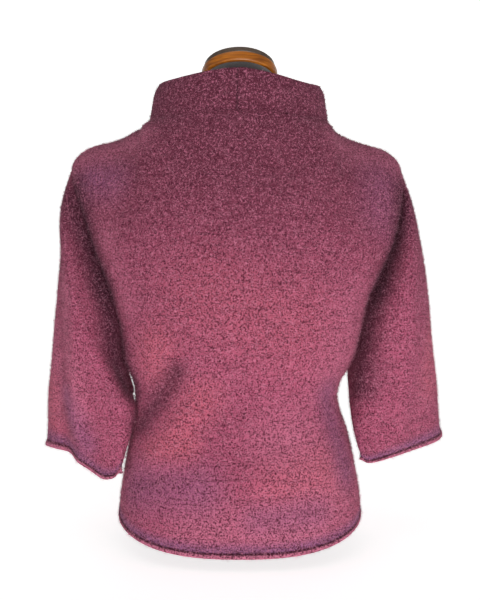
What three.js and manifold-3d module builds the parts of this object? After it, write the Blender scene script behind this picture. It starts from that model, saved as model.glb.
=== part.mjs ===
import * as THREE from 'three';
import { mergeVertices } from 'three/addons/utils/BufferGeometryUtils.js';
import Module from 'manifold-3d';

// A funnel-neck pullover of brushed cashmere knit on a limbless dress form.
// Millimetres, +Z up. The back of the garment faces -Y and the wearer's left is -X.
// The origin is the middle of the form's flat base.

// Sizes of the cloth
const CLOTH = 2.5;
const SEAM_GAP = 0.3;
const UNDERARM_Z = 242;
const SIDE_ROUNDNESS = 2.5;
const HEM_SIDE_Z = 43;
const HEM_CURVE = 1.3;
const NECK_HALF_WIDTH = { left: 135, right: 126 };
const NECK_POINT_Z = 569;
const NECK_SPREAD = 6;
const NECK_SLOPE = { from: 20, to: 200 };
const SHOULDER_CROWN = { from: 30, to: 150 };
const CROWN_POWER = { middle: 2.2, shoulder: 2 };
const FOLD_FADE_AT_SIDE = { from: 0.1, to: 0.7 };
const FOLD_FADE_AT_TOP = { from: 0.75, to: 0.97 };
const SLEEVE_LENGTH = 330;
const COLLAR_TOP_LENS = 0.25;

// Sections of the worn body: half widths at the side seam or the armhole, depths at the centre
const BODY = [
  { z: 15, left: 161, right: 159, back: 124, front: 112 },
  { z: 38, left: 165, right: 163, back: 124, front: 112 },
  { z: 60, left: 165, right: 164, back: 122, front: 112 },
  { z: 106, left: 158, right: 156, back: 116, front: 110 },
  { z: 150, left: 151, right: 147, back: 109, front: 106 },
  { z: 195, left: 145, right: 133, back: 104, front: 106 },
  { z: 222, left: 148, right: 138, back: 106, front: 110 },
  { z: 242, left: 157, right: 150, back: 109, front: 114 },
  { z: 290, left: 161, right: 162, back: 116, front: 124 },
  { z: 330, left: 170, right: 171, back: 120, front: 130 },
  { z: 355, left: 179, right: 182, back: 122, front: 131 },
  { z: 408, left: 199, right: 206, back: 124, front: 128 },
  { z: 450, left: 213, right: 216, back: 122, front: 118 },
  { z: 485, left: 227, right: 222, back: 120, front: 110 },
  { z: 516, left: 234, right: 222, back: 118, front: 104 },
];

// Height of the shoulder line on each side, from the neck point (share 0) to the tip (share 1)
const SHOULDER = [
  { share: 0, left: 569, right: 569 },
  { share: 0.08, left: 566, right: 562 },
  { share: 0.16, left: 561.5, right: 557.5 },
  { share: 0.28, left: 555, right: 552.5 },
  { share: 0.45, left: 549, right: 547 },
  { share: 0.68, left: 544, right: 541.5 },
  { share: 0.85, left: 536, right: 533.5 },
  { share: 0.96, left: 526, right: 524 },
  { share: 1, left: 517, right: 515 },
];
const SHOULDER_TIP = { left: 234, right: 222 };

// The rolled raw edge of hem and cuffs: how far the outside stands out, by height above the edge
const ROLL = [
  { up: 0, out: 0.5 },
  { up: 2.2, out: 2.0 },
  { up: 4.8, out: 1.2 },
  { up: 7.5, out: -0.4 },
  { up: 15, out: -0.9 },
];

// Soft folds of a panel: a straight run from one place to another, its half width, and how far
// it stands out (a trough is negative)
const BACK_FOLDS = [
  { fromX: -90, fromZ: 226, toX: -138, toZ: 160, wide: 13, out: -6 },
  { fromX: -122, fromZ: 262, toX: -150, toZ: 215, wide: 18, out: 4 },
  { fromX: -78, fromZ: 190, toX: -122, toZ: 140, wide: 18, out: 5 },
  { fromX: -128, fromZ: 104, toX: -58, toZ: 118, wide: 12, out: -3 },
  { fromX: 10, fromZ: 108, toX: 92, toZ: 116, wide: 26, out: 5 },
  { fromX: 118, fromZ: 200, toX: 134, toZ: 128, wide: 14, out: -3 },
  { fromX: -150, fromZ: 400, toX: -60, toZ: 470, wide: 34, out: 4 },
  { fromX: 70, fromZ: 450, toX: 150, toZ: 398, wide: 34, out: 4 },
  { fromX: -40, fromZ: 512, toX: 44, toZ: 508, wide: 30, out: -3 },
];
const FRONT_FOLDS = [
  { fromX: 96, fromZ: 222, toX: 134, toZ: 168, wide: 14, out: -5 },
  { fromX: 82, fromZ: 184, toX: 120, toZ: 134, wide: 18, out: 4 },
  { fromX: -118, fromZ: 206, toX: -136, toZ: 148, wide: 15, out: -4 },
  { fromX: -70, fromZ: 112, toX: 30, toZ: 104, wide: 24, out: 4 },
  { fromX: -62, fromZ: 520, toX: -22, toZ: 470, wide: 16, out: -3 },
  { fromX: 66, fromZ: 516, toX: 28, toZ: 462, wide: 16, out: -3 },
];

const BACK = {
  away: -1,
  depth: 'back',
  neckDepth: 80,
  neckRise: 3,
  hemDrop: 29,
  armholeDepth: 32,
  folds: BACK_FOLDS,
};
const FRONT = {
  away: 1,
  depth: 'front',
  neckDepth: 78,
  neckRise: -14,
  hemDrop: 24,
  armholeDepth: 34,
  folds: FRONT_FOLDS,
};

// Sleeve sections from the armhole (at 0) to the cuff (at 1): the outer and the inner edge of
// the flattened tube, and how far it bulges behind and in front of the line between them. The
// cuff's edge drops, or rises where negative, by the turn round the sleeve.
const LEFT_SLEEVE = {
  side: -1,
  sections: [
    { at: 0, outX: 234, outY: 0, outZ: 518, inX: 157, inY: 0, inZ: 242, back: 55, front: 50 },
    { at: 0.17, outX: 246, outY: 5, outZ: 462, inX: 155, inY: -6, inZ: 230, back: 76, front: 60 },
    { at: 0.33, outX: 243, outY: 12, outZ: 400, inX: 152, inY: -16, inZ: 212, back: 80, front: 60 },
    { at: 0.5, outX: 246.5, outY: 20, outZ: 335, inX: 140.5, inY: -55, inZ: 190, back: 66, front: 54 },
    { at: 0.67, outX: 255, outY: 28, outZ: 266, inX: 142.5, inY: -60, inZ: 164, back: 50, front: 44 },
    { at: 0.83, outX: 268, outY: 35, outZ: 197, inX: 150, inY: -62, inZ: 131, back: 34, front: 34 },
    { at: 1, outX: 280, outY: 40, outZ: 120, inX: 158, inY: -62, inZ: 93, back: 14, front: 26 },
  ],
  folds: [
    { fromTurn: 102, fromAt: 0.34, toTurn: 76, toAt: 0.98, wide: 15, out: 6 },
    { fromTurn: 130, fromAt: 0.42, toTurn: 104, toAt: 0.98, wide: 17, out: -7 },
    { fromTurn: 60, fromAt: 0.2, toTurn: 55, toAt: 0.7, wide: 20, out: -4 },
    { fromTurn: 250, fromAt: 0.3, toTurn: 240, toAt: 0.9, wide: 18, out: 5 },
    { fromTurn: 300, fromAt: 0.2, toTurn: 305, toAt: 0.6, wide: 16, out: -4 },
  ],
  cuff: [
    { turn: 0, drop: -16 },
    { turn: 15, drop: -7 },
    { turn: 32, drop: 1 },
    { turn: 50, drop: 5 },
    { turn: 75, drop: -3 },
    { turn: 100, drop: -8 },
    { turn: 125, drop: -5 },
    { turn: 155, drop: 0 },
    { turn: 180, drop: 2 },
    { turn: 230, drop: -4 },
    { turn: 300, drop: -2 },
    { turn: 345, drop: -9 },
    { turn: 360, drop: -16 },
  ],
};
const RIGHT_SLEEVE = {
  side: 1,
  sections: [
    { at: 0, outX: 222, outY: 0, outZ: 515, inX: 150, inY: 0, inZ: 242, back: 55, front: 50 },
    { at: 0.17, outX: 236, outY: 5, outZ: 462, inX: 149, inY: -6, inZ: 228, back: 74, front: 60 },
    { at: 0.33, outX: 247, outY: 14, outZ: 400, inX: 149, inY: -16, inZ: 210, back: 78, front: 58 },
    { at: 0.5, outX: 257, outY: 24, outZ: 335, inX: 149, inY: -28, inZ: 189, back: 66, front: 50 },
    { at: 0.67, outX: 265, outY: 34, outZ: 266, inX: 151, inY: -40, inZ: 165, back: 48, front: 40 },
    { at: 0.83, outX: 279, outY: 43, outZ: 199, inX: 154.5, inY: -50, inZ: 142, back: 30, front: 30 },
    { at: 1, outX: 293, outY: 50, outZ: 130, inX: 159.5, inY: -56, inZ: 114, back: 14, front: 22 },
  ],
  folds: [
    { fromTurn: 118, fromAt: 0.25, toTurn: 70, toAt: 0.9, wide: 22, out: 5 },
    { fromTurn: 60, fromAt: 0.15, toTurn: 50, toAt: 0.6, wide: 20, out: -4 },
    { fromTurn: 245, fromAt: 0.3, toTurn: 255, toAt: 0.85, wide: 20, out: 5 },
    { fromTurn: 295, fromAt: 0.2, toTurn: 300, toAt: 0.65, wide: 16, out: -4 },
  ],
  cuff: [
    { turn: 0, drop: -7 },
    { turn: 30, drop: 1 },
    { turn: 90, drop: 1 },
    { turn: 150, drop: 1 },
    { turn: 180, drop: -5 },
    { turn: 230, drop: -2 },
    { turn: 300, drop: 2 },
    { turn: 360, drop: -7 },
  ],
};
const ARMHOLE_FADE = 0.35;
const CUFF_FADE = { from: 0.62, to: 1 };
const SLEEVE_SKEW = 0.35;
const SLEEVE_MEAN_RADIUS = 80;

// Collar: size of the ring by height from the neck seam (at 0) to the top edge (at 1), and the
// height of the top edge by the turn from the centre back
const COLLAR = [
  { at: 0, left: 135, right: 126, back: 80, front: 78 },
  { at: 0.06, left: 130, right: 123, back: 79, front: 77 },
  { at: 0.25, left: 126, right: 121, back: 77, front: 75 },
  { at: 0.55, left: 123, right: 119, back: 75, front: 73 },
  { at: 0.8, left: 120, right: 117, back: 73.5, front: 71 },
  { at: 1, left: 114, right: 111.5, back: 72, front: 70 },
];
const COLLAR_TOP = [
  { turn: 0, left: 631.5, right: 631.5 },
  { turn: 48, left: 626.5, right: 621.5 },
  { turn: 90, left: 629, right: 628 },
  { turn: 180, left: 622, right: 622 },
];

// Dress form: sections, the ridge of its shoulders up to the garment's neck point, and its neck
const FORM_BODY = [
  { z: 0, left: 105, right: 105, back: 62, front: 86 },
  { z: 6, left: 118, right: 118, back: 76, front: 95 },
  { z: 20, left: 132, right: 131, back: 90, front: 99 },
  { z: 45, left: 143, right: 142, back: 101, front: 101 },
  { z: 90, left: 146, right: 144, back: 103, front: 99 },
  { z: 140, left: 134, right: 131, back: 94, front: 93 },
  { z: 190, left: 121, right: 118, back: 85, front: 88 },
  { z: 242, left: 133, right: 130, back: 92, front: 98 },
  { z: 290, left: 144, right: 143, back: 100, front: 112 },
  { z: 330, left: 152, right: 152, back: 106, front: 117 },
  { z: 400, left: 170, right: 171, back: 110, front: 114 },
  { z: 470, left: 184, right: 184, back: 107, front: 104 },
  { z: 516, left: 186, right: 186, back: 104, front: 94 },
];
const FORM_RIDGE = [
  { share: 0, z: 600 },
  { share: 0.34, z: 597 },
  { share: 0.53, z: 585 },
  { share: 0.76, z: 573.5 },
  { share: 0.92, z: 568 },
  { share: 1, z: 565.2 },
];
const FORM_REST_GAP = 1.3;
const FORM_ARM_PLATE_DEPTH = 48;
const FORM_NECK = [
  { up: -80, r: 57 },
  { up: -62, r: 54.5 },
  { up: -44, r: 52.5 },
  { up: -22, r: 50.5 },
  { up: 0, r: 50 },
];
const FORM_NECK_TOP_Z = 635;
const FORM_NECK_TILT = THREE.MathUtils.degToRad(13.5);
const FORM_NECK_X = -1.4;
const CAP_BAND = { r: 53.2, height: 14.6, edge: 3 };
const CAP_TOP = { r: 50, height: 8, dome: 2, edge: 2 };
const FACE_GAP = 0.3;
const WELD = 1e-3;
const KEY_STEPS_PER_MM = 50;
const SEAM_MARGIN = 0.01;

// Number of steps
const NECK_STEPS = 12;
const SHOULDER_STEPS = 7;
const SHOULDER_CROWDING = 0.5;
const SIDE_STEPS = 7;
const ARMHOLE_STEPS = 12;
const SLEEVE_STEPS = 11;
const FORM_COLUMNS = 20;
const FORM_ARM_ROWS = 10;
const ROUND_STEPS = 48;

const { lerp, clamp, smoothstep, degToRad, radToDeg } = THREE.MathUtils;

// A smooth curve through one column of a table, read at a place along its key column
function along(table, key, place, column) {
  const last = table.length - 1;
  let i = 0;
  while (i < last - 1 && place > table[i + 1][key]) i += 1;
  const slope = (j) => {
    const before = table[Math.max(j - 1, 0)];
    const after = table[Math.min(j + 1, last)];
    return (after[column] - before[column]) / (after[key] - before[key]);
  };
  const span = table[i + 1][key] - table[i][key];
  const t = clamp((place - table[i][key]) / span, 0, 1);
  const rise = t * t * (3 - 2 * t);
  const leave = t * (1 - t) * (1 - t) * span * slope(i);
  const arrive = t * t * (1 - t) * span * slope(i + 1);
  return lerp(table[i][column], table[i + 1][column], rise) + leave - arrive;
}

// How far the folds push a point out, by its distance from each fold's straight run
function foldOut(folds, across, up) {
  let out = 0;
  for (const fold of folds) {
    const runAcross = fold.toAcross - fold.fromAcross;
    const runUp = fold.toUp - fold.fromUp;
    const dot = (across - fold.fromAcross) * runAcross + (up - fold.fromUp) * runUp;
    const t = clamp(dot / (runAcross ** 2 + runUp ** 2), 0, 1);
    const away = Math.hypot(across - fold.fromAcross - t * runAcross, up - fold.fromUp - t * runUp);
    out += fold.out * Math.exp(-((away / fold.wide) ** 2));
  }
  return out;
}

const panelFolds = (panel) => panel.folds.map((fold) => ({
  ...fold,
  fromAcross: fold.fromX,
  toAcross: fold.toX,
  fromUp: fold.fromZ,
  toUp: fold.toZ,
}));

const sleeveFolds = (sleeve) => sleeve.folds.map((fold) => ({
  ...fold,
  fromAcross: degToRad(fold.fromTurn) * SLEEVE_MEAN_RADIUS,
  toAcross: degToRad(fold.toTurn) * SLEEVE_MEAN_RADIUS,
  fromUp: fold.fromAt * SLEEVE_LENGTH,
  toUp: fold.toAt * SLEEVE_LENGTH,
}));

const sideOf = (x) => (x < 0 ? 'left' : 'right');

// Height of the shoulder line at a distance from the centre
function shoulderZ(x) {
  const neck = NECK_HALF_WIDTH[sideOf(x)];
  const share = (Math.abs(x) - neck) / (SHOULDER_TIP[sideOf(x)] - neck);
  return along(SHOULDER, 'share', share, sideOf(x));
}

// Top edge of a cloth panel: the neck seam near the centre, the shoulder seam beyond. Further
// down, the neck's depth spreads into a soft slope across the shoulders.
function panelTop(panel, x, up) {
  const neck = Math.sqrt(Math.max(0, 1 - (x / NECK_HALF_WIDTH[sideOf(x)]) ** 2));
  const spread = 1 - smoothstep(Math.abs(x), NECK_SLOPE.from, NECK_SLOPE.to);
  const depth = panel.neckDepth * lerp(spread, neck, up ** NECK_SPREAD);
  const z = neck === 0 ? shoulderZ(x) : NECK_POINT_Z + panel.neckRise * neck;
  return { z, depth };
}

function formTop(panel, x) {
  const share = Math.abs(x) / NECK_HALF_WIDTH[sideOf(x)];
  const z = share < 1 ? along(FORM_RIDGE, 'share', share, 'z') : shoulderZ(x) - CLOTH - FORM_REST_GAP;
  return { z, depth: 0 };
}

// A point of the front or the back of a trunk, cloth or form. share runs from -1 at the left
// edge to 1 at the right one. Below the underarm a row gives its height, and above it the turn
// of the armhole, from 0 at the underarm to PI at the shoulder.
function trunkPoint(trunk, panel, share, row) {
  const column = sideOf(share);
  const round = Math.max(0, 1 - Math.abs(share) ** SIDE_ROUNDNESS) ** (1 / SIDE_ROUNDNESS);
  let z = row.turn === undefined ? row.height(panel, round) : 0;
  let y = 0;
  let keep = 1;
  if (row.turn === undefined) {
    y = along(trunk.sections, 'z', z, panel.depth) * round;
  } else {
    const topX = along(trunk.sections, 'z', NECK_POINT_Z, column) * share;
    const up = (1 - Math.cos(row.turn)) / 2;
    const top = trunk.top(panel, topX, up);
    z = lerp(UNDERARM_Z, top.z, up);
    const { from, to } = SHOULDER_CROWN;
    const shoulder = trunk.crown ? 1 : smoothstep(Math.abs(topX), from, to);
    const power = lerp(CROWN_POWER.middle, CROWN_POWER.shoulder, shoulder);
    const swell = (1 - up ** power) ** (1 / lerp(1, CROWN_POWER.shoulder, shoulder));
    const edge = trunk.armDepth(panel) * Math.sin(row.turn);
    const middle = along(trunk.sections, 'z', z, panel.depth);
    const section = edge + (middle - edge) * round;
    y = section * swell + top.depth * (1 - swell) + edge * (1 - swell) * (1 - round);
    keep = 1 - smoothstep(up, FOLD_FADE_AT_TOP.from, FOLD_FADE_AT_TOP.to);
  }
  const x = along(trunk.sections, 'z', z, column) * share;
  if (trunk.folded) {
    keep *= smoothstep(round, FOLD_FADE_AT_SIDE.from, FOLD_FADE_AT_SIDE.to);
    y += foldOut(panelFolds(panel), x, z) * keep;
  }
  return new THREE.Vector3(x, panel.away * y, z);
}

const CLOTH_TRUNK = {
  sections: BODY,
  top: panelTop,
  armDepth: (panel) => panel.armholeDepth,
  crown: false,
  folded: true,
};
const FORM_TRUNK = {
  sections: FORM_BODY,
  top: formTop,
  armDepth: () => FORM_ARM_PLATE_DEPTH,
  crown: true,
  folded: false,
};

// Rows of a cloth panel from the hem up, and its columns from the left edge to the right one
function panelRows() {
  const hemZ = (panel, round) => HEM_SIDE_Z - panel.hemDrop * round ** HEM_CURVE;
  const rows = ROLL.map(({ up, out }) => ({
    out,
    height: (panel, round) => hemZ(panel, round) + up,
  }));
  const band = ROLL.at(-1).up;
  for (let i = 1; i <= SIDE_STEPS; i += 1) {
    const share = i / SIDE_STEPS;
    rows.push({ out: 0, height: (panel, round) => lerp(hemZ(panel, round) + band, UNDERARM_Z, share) });
  }
  for (let i = 1; i <= ARMHOLE_STEPS; i += 1) rows.push({ out: 0, turn: (Math.PI * i) / ARMHOLE_STEPS });
  return rows;
}

function panelShares() {
  const shares = [];
  for (const side of [-1, 1]) {
    const neckShare = NECK_HALF_WIDTH[sideOf(side)] / SHOULDER_TIP[sideOf(side)];
    for (let i = side < 0 ? 0 : 1; i <= NECK_STEPS / 2; i += 1) {
      shares.push(side * neckShare * Math.sin((Math.PI * i) / NECK_STEPS));
    }
    for (let i = 1; i <= SHOULDER_STEPS; i += 1) {
      const even = i / SHOULDER_STEPS;
      const reach = lerp(even, Math.sin((Math.PI / 2) * even), SHOULDER_CROWDING);
      shares.push(side * lerp(neckShare, 1, reach));
    }
  }
  return shares.sort((a, b) => a - b);
}

function panelSheet(name, panel) {
  const shares = panelShares();
  if (panel === FRONT) shares.reverse();
  const rows = panelRows();
  const points = rows.map((row) => shares.map((share) => trunkPoint(CLOTH_TRUNK, panel, share, row)));
  const corner = rows.findIndex((row) => row.turn !== undefined) - 1;
  const seams = { start: true, end: true, last: true, corner };
  return { name, points, out: rows.map((row) => row.out), seams };
}

// A point of a sleeve: turn runs from 0 at the underarm over the back to PI at the tip and on
// over the front, and at runs from 0 at the armhole to 1 at the cuff
function sleevePoint(sleeve, turn, at) {
  const read = (column) => along(sleeve.sections, 'at', at, column);
  const outer = new THREE.Vector3(sleeve.side * read('outX'), read('outY'), read('outZ'));
  const inner = new THREE.Vector3(sleeve.side * read('inX'), read('inY'), read('inZ'));
  const across = outer.clone().sub(inner).multiplyScalar(0.5);
  const unit = across.clone().normalize();
  const backward = new THREE.Vector3(0, -1, 0);
  backward.addScaledVector(unit, -backward.dot(unit)).normalize();
  const fullness = Math.sin(turn) > 0 ? read('back') : read('front');
  const bulge = fullness * (1 - SLEEVE_SKEW * Math.cos(turn));
  const push = foldOut(sleeveFolds(sleeve), turn * SLEEVE_MEAN_RADIUS, at * SLEEVE_LENGTH);
  const swing = Math.abs(Math.sin(turn));
  return outer.clone().add(inner).multiplyScalar(0.5)
    .addScaledVector(across, -Math.cos(turn))
    .addScaledVector(backward, bulge * Math.sin(turn) + push * Math.sign(Math.sin(turn)) * swing);
}

// How far a sleeve's point drops, so that the cuff's edge hangs unevenly
function cuffDrop(sleeve, turn, at) {
  const drop = along(sleeve.cuff, 'turn', radToDeg(turn), 'drop');
  return drop * smoothstep(at, CUFF_FADE.from, CUFF_FADE.to);
}

function armholePoint(sleeve, turn) {
  const panel = turn <= Math.PI ? BACK : FRONT;
  const panelTurn = turn <= Math.PI ? turn : 2 * Math.PI - turn;
  return trunkPoint(CLOTH_TRUNK, panel, sleeve.side, { turn: panelTurn });
}

function sleeveSheet(name, sleeve) {
  const rows = [];
  const band = ROLL.at(-1).up / SLEEVE_LENGTH;
  for (let i = 0; i < SLEEVE_STEPS; i += 1) rows.push({ at: (1 - band) * (i / SLEEVE_STEPS), out: 0 });
  for (const { up, out } of [...ROLL].reverse()) rows.push({ at: 1 - up / SLEEVE_LENGTH, out });
  const turns = [];
  for (let i = 0; i < 2 * ARMHOLE_STEPS; i += 1) turns.push((Math.PI * i) / ARMHOLE_STEPS);
  if (sleeve.side > 0) turns.reverse();
  const points = rows.map((row) => turns.map((turn) => {
    const fit = armholePoint(sleeve, turn).sub(sleevePoint(sleeve, turn, 0));
    const fade = Math.max(0, 1 - row.at / ARMHOLE_FADE) ** 2;
    const point = sleevePoint(sleeve, turn, row.at).addScaledVector(fit, fade);
    point.z -= cuffDrop(sleeve, turn, row.at);
    return point;
  }));
  const seams = { first: true, underarm: turns.indexOf(0) };
  return { name, points, out: rows.map((row) => row.out), seams, tube: true };
}

// The collar starts at the centre back and runs round by the wearer's right
function collarSheet(name) {
  const steps = 2 * NECK_STEPS;
  const rows = COLLAR.map((row) => row.at);
  const points = rows.map((at) => {
    const ring = [];
    for (let i = 0; i <= steps; i += 1) {
      const turn = (2 * Math.PI * i) / steps;
      const behind = Math.cos(turn) >= 0;
      const panel = behind ? BACK : FRONT;
      const fromBack = radToDeg(Math.PI - Math.abs(Math.PI - turn));
      const side = turn <= Math.PI ? 'right' : 'left';
      const seamX = NECK_HALF_WIDTH[side] * Math.sin(turn);
      const z = lerp(panelTop(panel, seamX, 1).z, along(COLLAR_TOP, 'turn', fromBack, side), at);
      const lens = Math.abs(Math.cos(turn)) ** (COLLAR_TOP_LENS * at);
      const depth = along(COLLAR, 'at', at, behind ? 'back' : 'front') * Math.cos(turn) * lens;
      ring.push(new THREE.Vector3(along(COLLAR, 'at', at, side) * Math.sin(turn), -depth, z));
    }
    return ring;
  });
  return { name, points, out: rows.map(() => 0), seams: { start: true, end: true, first: true } };
}

// Outward direction at every point of the sheets, shared where two sheets meet
function sharedNormals(sheets) {
  const key = (p) => p.toArray().map((value) => Math.round(value * KEY_STEPS_PER_MM)).join(' ');
  const sums = new Map();
  for (const { points, tube } of sheets) {
    const columns = points[0].length;
    for (let r = 0; r + 1 < points.length; r += 1) {
      for (let c = 0; c < (tube ? columns : columns - 1); c += 1) {
        const next = (c + 1) % columns;
        const corners = [points[r][c], points[r][next], points[r + 1][next], points[r + 1][c]];
        const one = corners[2].clone().sub(corners[0]);
        const two = corners[3].clone().sub(corners[1]);
        const normal = one.cross(two).normalize();
        for (const corner of corners) {
          const name = key(corner);
          if (!sums.has(name)) sums.set(name, new THREE.Vector3());
          sums.get(name).add(normal);
        }
      }
    }
  }
  return (p) => sums.get(key(p)).clone().normalize();
}

// Moves the points of a seam edge half the seam gap back into their own piece, which lies on the
// left of its edge seen from outside, square to the edge and to the shared outward direction
function seamShift(sheet, normal, r, c) {
  const { points, seams, tube } = sheet;
  const lastRow = points.length - 1;
  const lastColumn = points[0].length - 1;
  const shift = new THREE.Vector3();
  const pull = (from, to) => {
    const inward = normal.clone().cross(to.clone().sub(from)).normalize();
    shift.addScaledVector(inward, SEAM_GAP / 2 + SEAM_MARGIN);
  };
  const here = points[r][c];
  const below = points[Math.max(r - 1, 0)][c];
  const above = points[Math.min(r + 1, lastRow)][c];
  const before = points[r][tube ? (c + lastColumn) % (lastColumn + 1) : Math.max(c - 1, 0)];
  const after = points[r][tube ? (c + 1) % (lastColumn + 1) : Math.min(c + 1, lastColumn)];
  const stops = r === seams.corner ? [below, here, above] : [below, above];
  for (let i = 0; i + 1 < stops.length; i += 1) {
    if (seams.start && c === 0) pull(stops[i + 1], stops[i]);
    if (seams.end && c === lastColumn) pull(stops[i], stops[i + 1]);
  }
  if (seams.first && r === 0) pull(before, after);
  if (seams.last && r === lastRow) pull(after, before);
  if (r === 0 && c === seams.underarm) shift.addScaledVector(normal, SEAM_GAP);
  return shift;
}

// A closed wall of cloth: the outside with its rolled edge, a plain inside, and the rims
function clothWall(sheet, normalAt) {
  const { points, out, tube } = sheet;
  const rows = points.length;
  const columns = points[0].length;
  const position = [];
  const unparted = [];
  for (const inside of [false, true]) {
    points.forEach((row, r) => row.forEach((point, c) => {
      const normal = normalAt(point);
      const moved = point.clone().addScaledVector(normal, inside ? -CLOTH : out[r]);
      unparted.push(moved.clone());
      position.push(...moved.add(seamShift(sheet, normal, r, c)).toArray());
    }));
  }
  const faces = [];
  const outer = (r, c) => r * columns + (c % columns);
  const inner = (r, c) => rows * columns + outer(r, c);
  const quad = (a, b, c, d) => faces.push(a, b, c, a, c, d);
  // Two pieces that meet at a seam split their rims along the same, shorter diagonal
  const rim = (a, b, c, d) => {
    const shorter = unparted[a].distanceTo(unparted[c]) <= unparted[b].distanceTo(unparted[d]);
    if (shorter) quad(a, b, c, d);
    else quad(b, c, d, a);
  };
  const lastSpan = tube ? columns : columns - 1;
  for (let r = 0; r + 1 < rows; r += 1) {
    for (let c = 0; c < lastSpan; c += 1) {
      quad(outer(r, c), outer(r, c + 1), outer(r + 1, c + 1), outer(r + 1, c));
      quad(inner(r + 1, c), inner(r + 1, c + 1), inner(r, c + 1), inner(r, c));
    }
  }
  for (let c = 0; c < lastSpan; c += 1) {
    rim(inner(0, c), inner(0, c + 1), outer(0, c + 1), outer(0, c));
    rim(outer(rows - 1, c), outer(rows - 1, c + 1), inner(rows - 1, c + 1), inner(rows - 1, c));
  }
  for (let r = 0; !tube && r + 1 < rows; r += 1) {
    rim(inner(r, 0), outer(r, 0), outer(r + 1, 0), inner(r + 1, 0));
    const end = columns - 1;
    rim(outer(r, end), inner(r, end), inner(r + 1, end), outer(r + 1, end));
  }
  const geometry = new THREE.BufferGeometry();
  geometry.setAttribute('position', new THREE.Float32BufferAttribute(position, 3));
  geometry.setIndex(faces);
  return geometry;
}

// Joins equal corners and drops the triangles that have shrunk to a line
function weld(geometry) {
  const bare = new THREE.BufferGeometry();
  bare.setAttribute('position', geometry.getAttribute('position'));
  if (geometry.index) bare.setIndex(geometry.index);
  const merged = mergeVertices(bare, WELD);
  const index = [];
  for (let i = 0; i < merged.index.count; i += 3) {
    const [a, b, c] = [0, 1, 2].map((j) => merged.index.getX(i + j));
    if (a !== b && b !== c && c !== a) index.push(a, b, c);
  }
  merged.setIndex(index);
  return merged;
}

// The form's torso: a back and a front that meet at the sides and along the shoulder ridge,
// with arm plates between them and a flat base
function torsoGeometry() {
  const rows = FORM_BODY.filter(({ z }) => z <= UNDERARM_Z).map(({ z }) => ({ height: () => z }));
  for (let i = 1; i <= FORM_ARM_ROWS; i += 1) rows.push({ turn: (Math.PI * i) / FORM_ARM_ROWS });
  const corners = [];
  const quad = (a, b, c, d) => corners.push(a, b, c, a, c, d);
  const share = (i) => Math.sin(Math.PI * (i / FORM_COLUMNS - 0.5));
  const at = (panel, i, r) => trunkPoint(FORM_TRUNK, panel, share(i), rows[r]);
  const middle = new THREE.Vector3(0, 0, 0);
  for (let i = 0; i < FORM_COLUMNS; i += 1) {
    for (let r = 0; r + 1 < rows.length; r += 1) {
      quad(at(BACK, i, r), at(BACK, i + 1, r), at(BACK, i + 1, r + 1), at(BACK, i, r + 1));
      quad(at(FRONT, i + 1, r), at(FRONT, i, r), at(FRONT, i, r + 1), at(FRONT, i + 1, r + 1));
    }
    corners.push(middle, at(BACK, i + 1, 0), at(BACK, i, 0));
    corners.push(middle, at(FRONT, i, 0), at(FRONT, i + 1, 0));
  }
  for (let r = 0; r + 1 < rows.length; r += 1) {
    const end = FORM_COLUMNS;
    quad(at(BACK, end, r), at(FRONT, end, r), at(FRONT, end, r + 1), at(BACK, end, r + 1));
    quad(at(FRONT, 0, r), at(BACK, 0, r), at(BACK, 0, r + 1), at(FRONT, 0, r + 1));
  }
  const geometry = new THREE.BufferGeometry();
  const position = corners.flatMap((corner) => corner.toArray());
  geometry.setAttribute('position', new THREE.Float32BufferAttribute(position, 3));
  return weld(geometry);
}

// A body turned about the neck's tilted axis, its foot at a height along that axis
function neckTurned(profile, up) {
  const points = profile.map(({ r, z }) => new THREE.Vector2(r, z));
  const geometry = new THREE.LatheGeometry(points, ROUND_STEPS);
  geometry.rotateX(Math.PI / 2);
  geometry.translate(0, 0, up);
  geometry.rotateX(-FORM_NECK_TILT);
  geometry.translate(FORM_NECK_X, 0, FORM_NECK_TOP_Z);
  return weld(geometry);
}

const wasm = await Module();
wasm.setup();

function toSolid(geometry) {
  return new wasm.Manifold(new wasm.Mesh({
    numProp: 3,
    vertProperties: new Float32Array(geometry.getAttribute('position').array),
    triVerts: new Uint32Array(geometry.index.array),
  }));
}

function formGeometry() {
  const profile = FORM_NECK.map(({ up, r }) => ({ r, z: up }));
  const closed = [{ r: 0, z: FORM_NECK[0].up }, ...profile, { r: 0, z: 0 }];
  const joined = toSolid(torsoGeometry()).add(toSolid(neckTurned(closed, 0))).getMesh();
  const geometry = new THREE.BufferGeometry();
  geometry.setAttribute('position', new THREE.Float32BufferAttribute(joined.vertProperties, 3));
  geometry.setIndex([...joined.triVerts]);
  return geometry;
}

// A rounded corner of a turned profile, over a quarter turn
function quarterRound(r, z, edge, start) {
  return [0, 1, 2].map((step) => {
    const turn = start + (step * Math.PI) / 4;
    return { r: r + edge * Math.cos(turn), z: z + edge * Math.sin(turn) };
  });
}

function bandGeometry() {
  const { r, height, edge } = CAP_BAND;
  return neckTurned([
    { r: 0, z: 0 },
    ...quarterRound(r - edge, edge, edge, -Math.PI / 2),
    ...quarterRound(r - edge, height - edge, edge, 0),
    { r: 0, z: height },
  ], FACE_GAP);
}

function topGeometry() {
  const { r, height, dome, edge } = CAP_TOP;
  const rise = (share) => ({ r: r * share, z: height + dome * (1 - share ** 2) });
  return neckTurned([
    { r: 0, z: 0 },
    { r: r - edge, z: 0 },
    { r, z: edge },
    ...quarterRound(r - edge, height - edge, edge, 0),
    rise(1 / 2),
    rise(0),
  ], CAP_BAND.height + 2 * FACE_GAP);
}

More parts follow.
